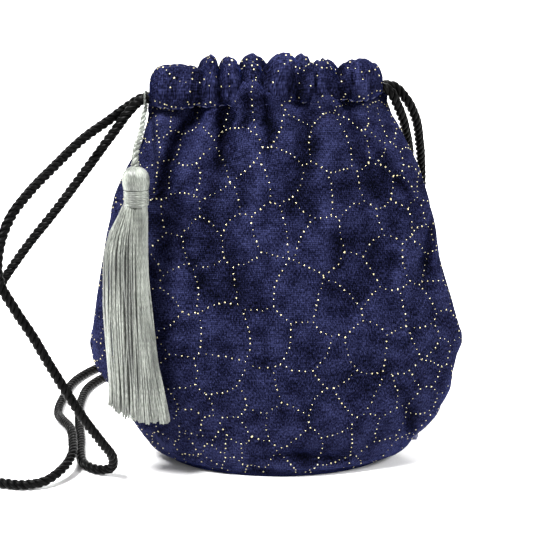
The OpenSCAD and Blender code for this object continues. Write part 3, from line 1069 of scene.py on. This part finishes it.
def place_dots(front, back, front_name, back_name):
    """Dots of the front in one piece and of the back in two. front and back each hold
    points, normals and the random generator."""
    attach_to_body(dots_piece(front_name, *front), "pouch")
    points, normals, rng = back
    for left, ending, _ in halves(0):
        chosen = (points[:, 0] < MOUTH_MID) == left
        open_with_back(dots_piece(back_name + ending, points[chosen], normals[chosen], rng))


place_dots(wall_dots(front_wall, FRONT_CUT, -1, 11, panel_cell),
           wall_dots(back_wall, BACK_CUT, 1, 12, back_cell), "front_dots", "back_dots")


def band_cell(x, y):
    return 13 * MM


def band_dots(rings, cut, side, seed):
    closed = np.concatenate([rings, rings[:, :1]], axis=1)
    closed_cut = np.concatenate([cut, cut[:, :1] + np.array([0, BAND_ROUND])], axis=1)
    return web_dots(closed, closed_cut, -normals_of(closed, side), band_cell, seed, turned=True)


place_dots(band_dots(FRONT_BAND, FRONT_BAND_CUT, -1, 21),
           band_dots(BACK_BAND, BACK_BAND_CUT, 1, 22), "front_band_dots", "back_band_dots")


# ---------------------------------------------------------------- tassel

HEAD_LOW, HEAD_HIGH = (np.array(v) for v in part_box("tassel_head"))
BINDING_LOW, BINDING_HIGH = (np.array(v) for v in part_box("tassel_binding"))
SKIRT_LOW, SKIRT_HIGH = (np.array(v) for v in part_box("tassel_skirt"))
LOOP_LOW, LOOP_HIGH = (np.array(v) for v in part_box("tassel_loop"))
HANGER_HIGH = np.array(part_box("tassel_hanger")[1])
HEAD_R = (HEAD_HIGH[0] - HEAD_LOW[0]) / 2
TASSEL_X, TASSEL_Y = (HEAD_HIGH[:2] + HEAD_LOW[:2]) / 2
BINDING_R = (BINDING_HIGH[0] - BINDING_LOW[0]) / 2

# The skirt's outline: share of its length, left and right edge in shares of its
# half width
SKIRT_OUTLINE = [(0, -0.27, 0.28), (0.06, -0.46, 0.30), (0.16, -0.82, 0.28), (0.4, -1.02, 0.28),
                 (0.65, -1.0, 0.45), (0.85, -0.98, 0.66), (1, -1.03, 0.84)]
THREADS = 190
THREAD_R = 0.5 * MM
LEFT_SHORTER = 0.065
# How far the right-hand threads hang forward, to clear the wall as the tassel turns
RIGHT_CLEAR = 4.5 * MM
THREAD_TURNS = 89
HEAD_RIBS = 46
BINDING_TURNS = 9


def head_piece():
    """The dome: threads fold over the hanger and run down to the binding."""
    columns = HEAD_RIBS * 5
    shares = np.linspace(0, 1, 26)
    angle = np.linspace(0, 2 * math.pi, columns, endpoint=False)
    top = HEAD_HIGH[2]
    low = BINDING_HIGH[2] - 0.5 * MM
    rows = np.zeros((len(shares), columns, 3))
    for i, share in enumerate(shares):
        z = top - share * (top - low)
        drop = min(1.0, (top - z) / HEAD_R)
        radius = HEAD_R * math.sqrt(max(0.012, 1 - (1 - drop) ** 2))
        radius *= 1 - 0.08 * smoothstep(0.75, 1.0, share)
        thread = np.abs(np.cos(HEAD_RIBS * angle / 2 + 0.5 * math.sin(3 * share)))
        rib = 1 + 0.035 * min(1, 3 * share) * thread
        rows[i, :, 0] = TASSEL_X + radius * rib * np.cos(angle) * 0.985
        rows[i, :, 1] = TASSEL_Y + radius * rib * np.sin(angle) * 0.985
        rows[i, :, 2] = z
    cut = np.stack(np.meshgrid(angle * 3, shares * 0.012, indexing="xy"), axis=-1)
    build = Build()
    build.grid(rows[:, ::-1], cut[:, ::-1], closed=True)
    last = (len(shares) - 1) * columns
    build.faces.append([k for k in range(columns - 1, -1, -1)])
    build.faces.append([last + k for k in range(columns)])
    build.corners += [(0.0, 0.0)] * (2 * columns)
    piece = build.finish("head_threads", SILVER)
    attach(piece, "tassel", "tassel_head")


def binding_piece():
    """Thread wound round and round the neck in one long helix."""
    turns = BINDING_TURNS
    height = BINDING_HIGH[2] - BINDING_LOW[2]
    thread = height / turns * 0.58
    spots = np.linspace(0, turns - 0.6, turns * 40)
    swell = 1 + 0.03 * np.sin(math.pi * spots / turns)
    radius = (BINDING_R - thread) * swell
    angle = 2 * math.pi * spots
    line = np.stack([TASSEL_X + radius * np.cos(angle), TASSEL_Y + radius * np.sin(angle),
                     BINDING_LOW[2] + thread + spots * (height - 1.6 * thread) / turns], axis=1)
    build = Build()
    build.tube(line, thread, 8)
    foot = np.array((TASSEL_X, TASSEL_Y, BINDING_LOW[2]))
    head = np.array((TASSEL_X, TASSEL_Y, BINDING_HIGH[2] - 0.2 * MM))
    core = foot + (head - foot) * np.linspace(0, 1, 6)[:, None]
    build.tube(core, BINDING_R - 0.8 * thread, 32)
    piece = build.finish("binding_thread", SILVER)
    attach(piece, "tassel", "tassel_binding")


def skirt_piece():
    """The loose threads, each a thin tube that hangs in its own slow curve."""
    rng = np.random.default_rng(5)
    left = profile([(s, a) for s, a, _ in SKIRT_OUTLINE])
    right = profile([(s, b) for s, _, b in SKIRT_OUTLINE])
    half_w = (SKIRT_HIGH[0] - SKIRT_LOW[0]) / 2
    half_d = (SKIRT_HIGH[1] - SKIRT_LOW[1]) / 2
    top, low = SKIRT_HIGH[2] + 4 * MM, SKIRT_LOW[2]
    build = Build()
    for number in range(THREADS):
        share = (number + 0.5) / THREADS
        turn = share * 2 * math.pi * THREAD_TURNS % (2 * math.pi)
        reach = math.sqrt(0.18 + 0.82 * share) if share < 0.45 else 1.0 - rng.uniform(0, 0.06)
        across = reach * math.cos(turn)
        front = reach * math.sin(turn)
        length = 1 - abs(rng.normal(0, 0.008)) - LEFT_SHORTER * max(0, -across) ** 1.5
        steps = np.linspace(0, length, 13)
        edge = np.where(across < 0, -left(steps), right(steps))
        swing = rng.normal(0, 0.5 * MM)
        wave = swing * np.sin(math.pi * steps * rng.uniform(1.5, 3.5) + rng.uniform(0, 6))
        x = TASSEL_X + half_w * across * edge + wave * smoothstep(0.1, 0.5, steps)
        depth = 0.72 + 0.28 * smoothstep(0, 0.5, steps)
        clear = RIGHT_CLEAR * max(0, across) * smoothstep(0.1, 0.8, steps)
        y = TASSEL_Y + half_d * 0.93 * front * depth + 0.5 * wave - clear
        z = top - steps * (top - low)
        build.tube(np.stack([x, y, z], axis=1), THREAD_R, 5, tag=float(number % 17))
    piece = build.finish("skirt_threads", SILVER)
    attach(piece, "tassel", "tassel_skirt")


def loop_and_hanger():
    centre = (LOOP_LOW + LOOP_HIGH) / 2
    reach = (LOOP_HIGH[2] - LOOP_LOW[2]) / 2
    turn = np.linspace(0, 2 * math.pi, 60)
    line = np.stack([np.full_like(turn, centre[0]), centre[1] + (reach - 0.6 * MM) * np.cos(turn),
                     centre[2] + (reach - 0.6 * MM) * np.sin(turn)], axis=1)
    loop = rope("loop_thread", line, 1.3 * MM, 4 * MM, SILVER, strands=2, sides=6)
    attach(loop, "loop", "tassel_loop")
    top = np.array((centre[0], HANGER_HIGH[1] - 1.2 * MM, HANGER_HIGH[2] - 0.4 * MM))
    low = np.array((TASSEL_X, TASSEL_Y, HEAD_HIGH[2] - 2 * MM))
    line = curve_through([top, top + 0.35 * (low - top), low + np.array((0, 0, 5 * MM)), low], 0.6 * MM)
    length = lengths_along(line)
    thick = np.interp(length / length[-1], [0, 0.15, 1], [0.55 * MM, 0.8 * MM, 1.15 * MM])
    hanger = strands_round("hanger_cord", line, 2, 6.5 * MM, 0.85 * thick[:, None], thick, 8, SILVER)
    attach(hanger, "hanger", "tassel_hanger")


head_piece()
binding_piece()
skirt_piece()
loop_and_hanger()
for node in ("front_cord_join", "back_cord_join"):
    bpy.data.objects[node].material_slots[0].material = WHIPPING


# ---------------------------------------------------------------- stage

FLOOR_REACH = 3.0
SWEEP_Y = 1.3
SWEEP_R = 0.7
WORLD_STRENGTH = 0.36


def make_stage():
    """A white paper sweep: flat under the pouch and curved up behind it."""
    look = Look("paper")
    grain = look.noise(look.place(), 900, 2.0)
    colour = look.ramp(grain, [(0.3, (0.88, 0.88, 0.88)), (0.7, (0.92, 0.92, 0.92))])
    look.shade({"Base Color": colour, "Roughness": 0.85})
    bend = [(SWEEP_Y + SWEEP_R * math.sin(a), SWEEP_R * (1 - math.cos(a)))
            for a in np.linspace(0, math.pi / 2, 16)]
    line = [(-FLOOR_REACH, 0)] + bend + [(SWEEP_Y + SWEEP_R, FLOOR_REACH)]
    rows = np.array([[(x, y, z) for x in (-FLOOR_REACH, FLOOR_REACH)] for y, z in line])
    build = Build()
    build.grid(rows, rows[..., :2])
    build.finish("floor", look.material)


def area_light(name, place, target, size, power):
    data = bpy.data.lights.new(name, "AREA")
    data.shape = "DISK"
    data.size = size
    data.energy = power
    light = bpy.data.objects.new(name, data)
    light.location = place
    light.rotation_euler = (Vector(place) - Vector(target)).to_track_quat("Z", "Y").to_euler()
    bpy.context.collection.objects.link(light)


def make_lights():
    world = bpy.data.worlds.new("studio")
    world.use_nodes = True
    background = world.node_tree.nodes["Background"]
    background.inputs[0].default_value = (1, 1, 1, 1)
    background.inputs[1].default_value = WORLD_STRENGTH
    bpy.context.scene.world = world
    area_light("key", (-0.45, -0.35, 0.95), (0, 0, 0.12), 0.3, 27)
    area_light("side", (0.75, -0.25, 0.55), (0, 0, 0.1), 0.3, 7)
    area_light("rim", (0.2, 0.8, 0.8), (0, 0, 0.1), 0.6, 6)
    area_light("backdrop", (0, 0.9, 1.3), (0, 1.9, 0.3), 1.2, 40)


make_stage()
make_lights()
bpy.context.scene.view_settings.view_transform = "Standard"
bpy.context.view_layer.update()
